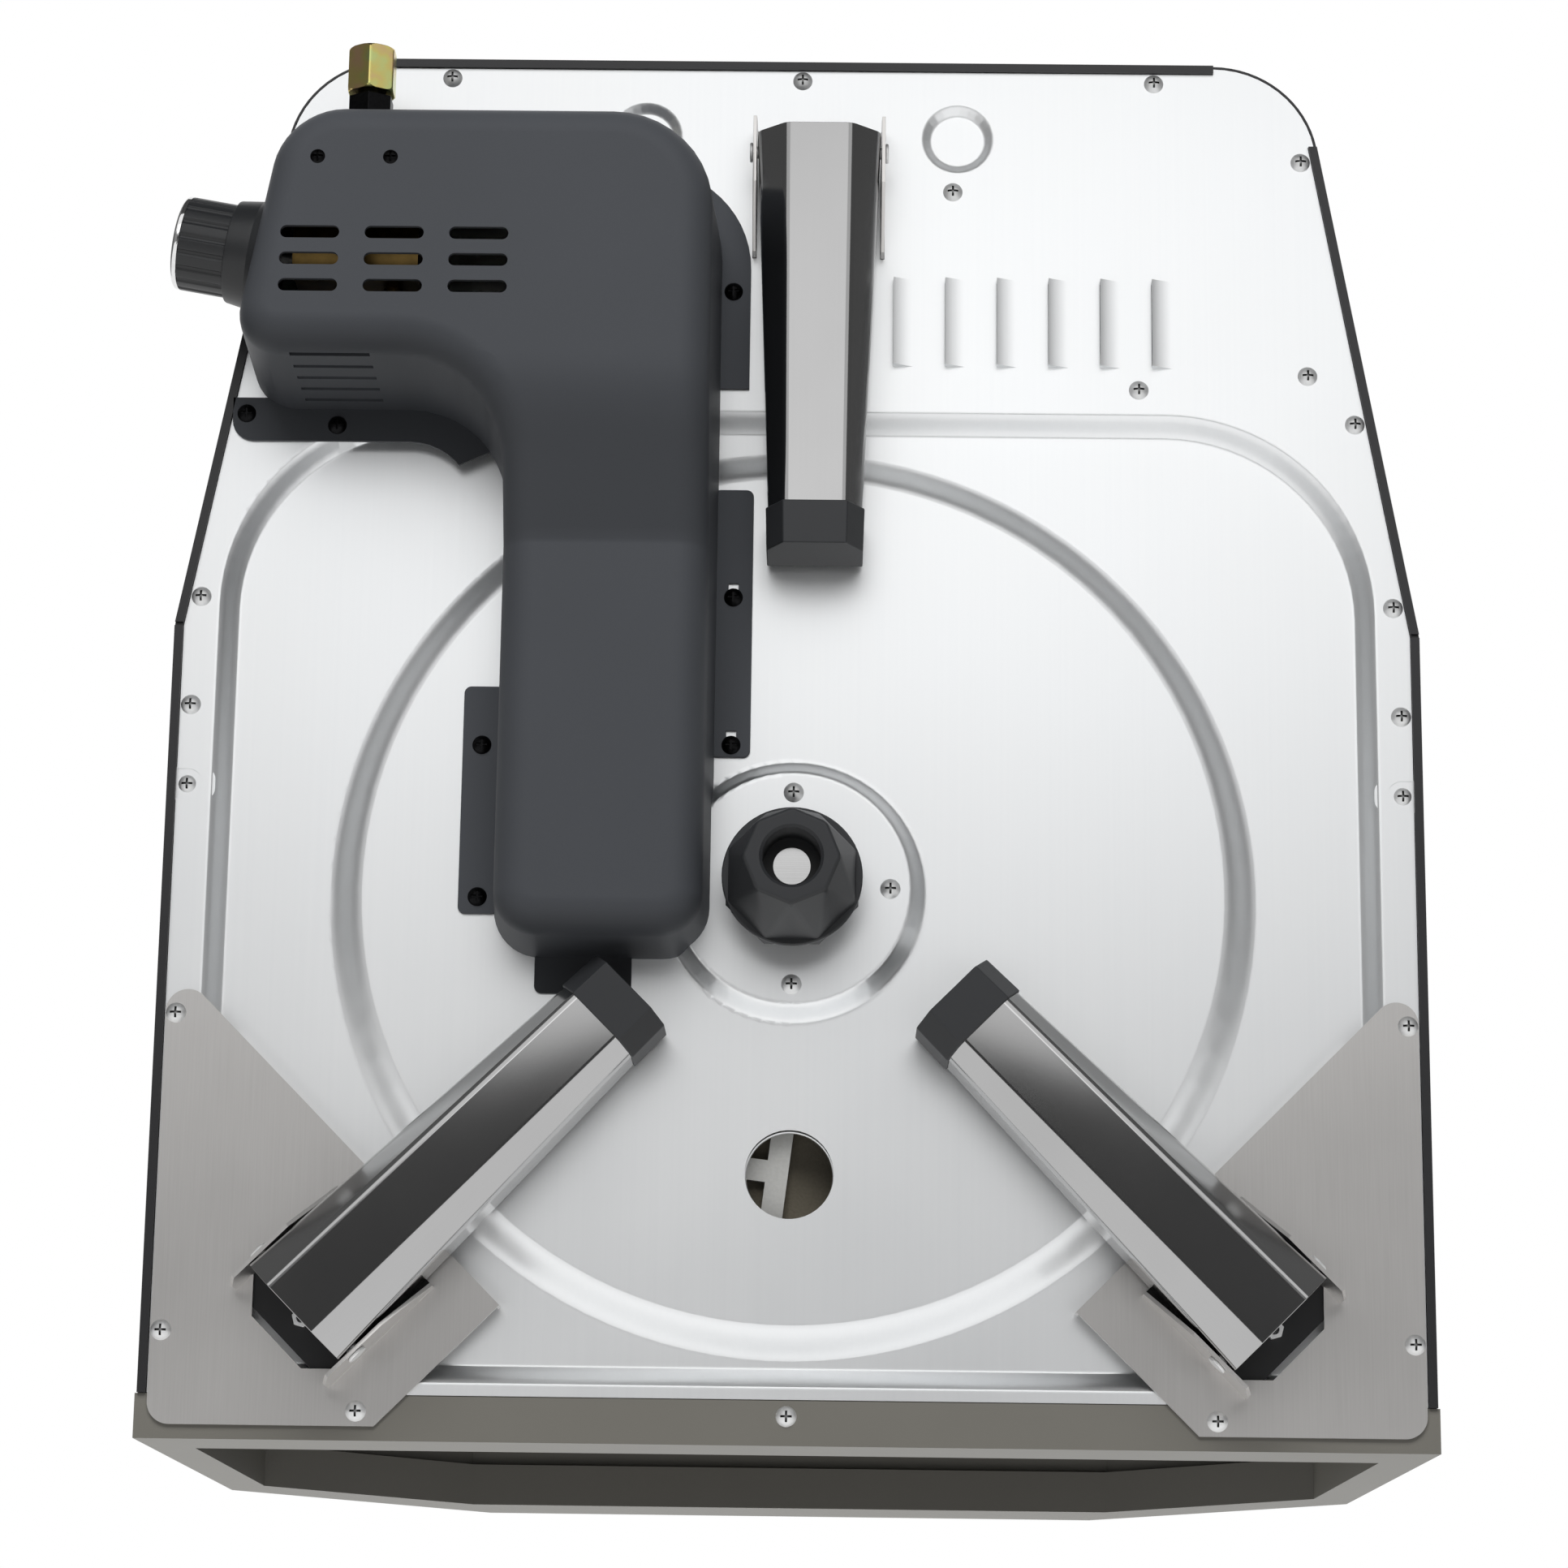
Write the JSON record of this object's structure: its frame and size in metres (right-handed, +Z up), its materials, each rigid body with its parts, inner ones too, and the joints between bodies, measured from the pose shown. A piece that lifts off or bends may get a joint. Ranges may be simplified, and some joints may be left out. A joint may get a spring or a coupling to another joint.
{
  "type": "portable gas pizza oven with folding legs",
  "caption": "Portable gas pizza oven seen on its underside: pressed steel pan, turning stone with a hand knob, folding channel legs, black valve cover with gas knob and inlet.",
  "frame": {"origin": "middle of the base of the folded oven's bounding box", "axes": "+Z up out of the roof, +Y from the mouth to the back, +X to the oven's right as seen from its mouth"},
  "size_m": [0.525, 0.6118, 0.3312],
  "materials": {
    "pan_sheet": "bright pressed sheet, soft sheen",
    "shell_paint": "satin black powder coat",
    "fascia_paint": "grey-bronze metallic paint",
    "oven_steel": "plain stainless sheet",
    "blanket": "ceramic fibre blanket",
    "stainless": "brushed stainless",
    "polished_stainless": "polished stainless",
    "black_plastic": "moulded matt black",
    "black_satin_plastic": "satin black",
    "cover_paint": "matt black powder coat",
    "stone": "fired cordierite",
    "cast": "cast, as made",
    "bronze": "sintered bronze",
    "brass": "machined brass",
    "yellow_zinc": "yellow passivated plating",
    "zinc": "bright zinc plating",
    "black_zinc": "black oxide",
    "chrome": "mirror plating",
    "ceramic": "glazed insulator"
  },
  "bodies": {
    "oven_body": {"bottom_pan": "pan_sheet", "roof_panel": "shell_paint", "right_side_panel": "shell_paint", "left_side_panel": "shell_paint", "back_panel": "shell_paint", "front_fascia": "fascia_paint", "oven_liner": "oven_steel", "rear_bulkhead": "oven_steel", "roof_insulation": "blanket", "right_gusset": "stainless", "left_gusset": "stainless", "hinge_backing_plates": "stainless", "hinge_nuts": "zinc", "rear_leg_bracket": "stainless", "leg_pins": "zinc", "bearing_housing": "cast", "lower_bush": "bronze", "upper_bush": "bronze", "thrust_washer": "bronze", "valve_cover": "cover_paint", "gas_valve": "brass", "rear_gas_pipe": "brass", "hearth_gas_pipe": "brass", "rear_burner": "oven_steel", "burner_brackets": "oven_steel", "hearth_burner": "oven_steel", "spark_electrode": "ceramic", "knob_bezel": "black_satin_plastic", "inlet_adapter": "black_zinc", "pan_screws": "zinc", "gusset_screws": "zinc", "hub_screws": "zinc", "cover_screws": "black_zinc", "valve_screws": "black_zinc"},
    "right_leg_body": {"right_leg": "polished_stainless", "right_foot_cap": "black_plastic"},
    "left_leg_body": {"left_leg": "polished_stainless", "left_foot_cap": "black_plastic"},
    "rear_leg_body": {"rear_leg": "polished_stainless", "rear_foot_cap": "black_plastic"},
    "turntable": {"spindle": "polished_stainless", "turntable_spider": "oven_steel", "pizza_stone": "stone", "hub_knob": "black_plastic"},
    "stem_body": {"valve_stem": "zinc"},
    "knob_body": {"gas_knob": "black_satin_plastic", "knob_ring": "chrome"},
    "nut_body": {"inlet_nut": "yellow_zinc"}
  },
  "joints": [
    {"name": "right_leg_fold", "type": "hinge", "parent": "oven_body", "child": "right_leg_body", "pos_m": [0.1915, -0.23498, 0.0592], "axis": [-0.7071, -0.7071, 0], "range_deg": [0, 105]},
    {"name": "left_leg_fold", "type": "hinge", "parent": "oven_body", "child": "left_leg_body", "pos_m": [-0.1915, -0.23498, 0.0592], "axis": [-0.7071, 0.7071, 0], "range_deg": [0, 105]},
    {"name": "rear_leg_fold", "type": "hinge", "parent": "oven_body", "child": "rear_leg_body", "pos_m": [-0.0076, 0.25622, 0.0592], "axis": [1, 0, 0], "range_deg": [0, 105]},
    {"name": "turntable_spin", "type": "hinge", "parent": "oven_body", "child": "turntable", "pos_m": [0, -0.06158, 0.0792], "axis": [0, 0, 1], "continuous": true},
    {"name": "valve_push", "type": "slide", "parent": "oven_body", "child": "stem_body", "axis": [-0.9844, -0.1761, 0], "range_m": [0, 0.0035], "stiffness_N_per_m": 1200},
    {"name": "gas_knob_turn", "type": "hinge", "parent": "stem_body", "child": "knob_body", "pos_m": [0.22681, 0.19892, 0.0372], "axis": [0.9844, 0.1761, 0], "range_deg": [0, 210]},
    {"name": "inlet_nut_spin", "type": "hinge", "parent": "oven_body", "child": "nut_body", "pos_m": [0.18204, 0.28342, 0.0372], "axis": [0, 1, 0], "continuous": true}
  ]
}
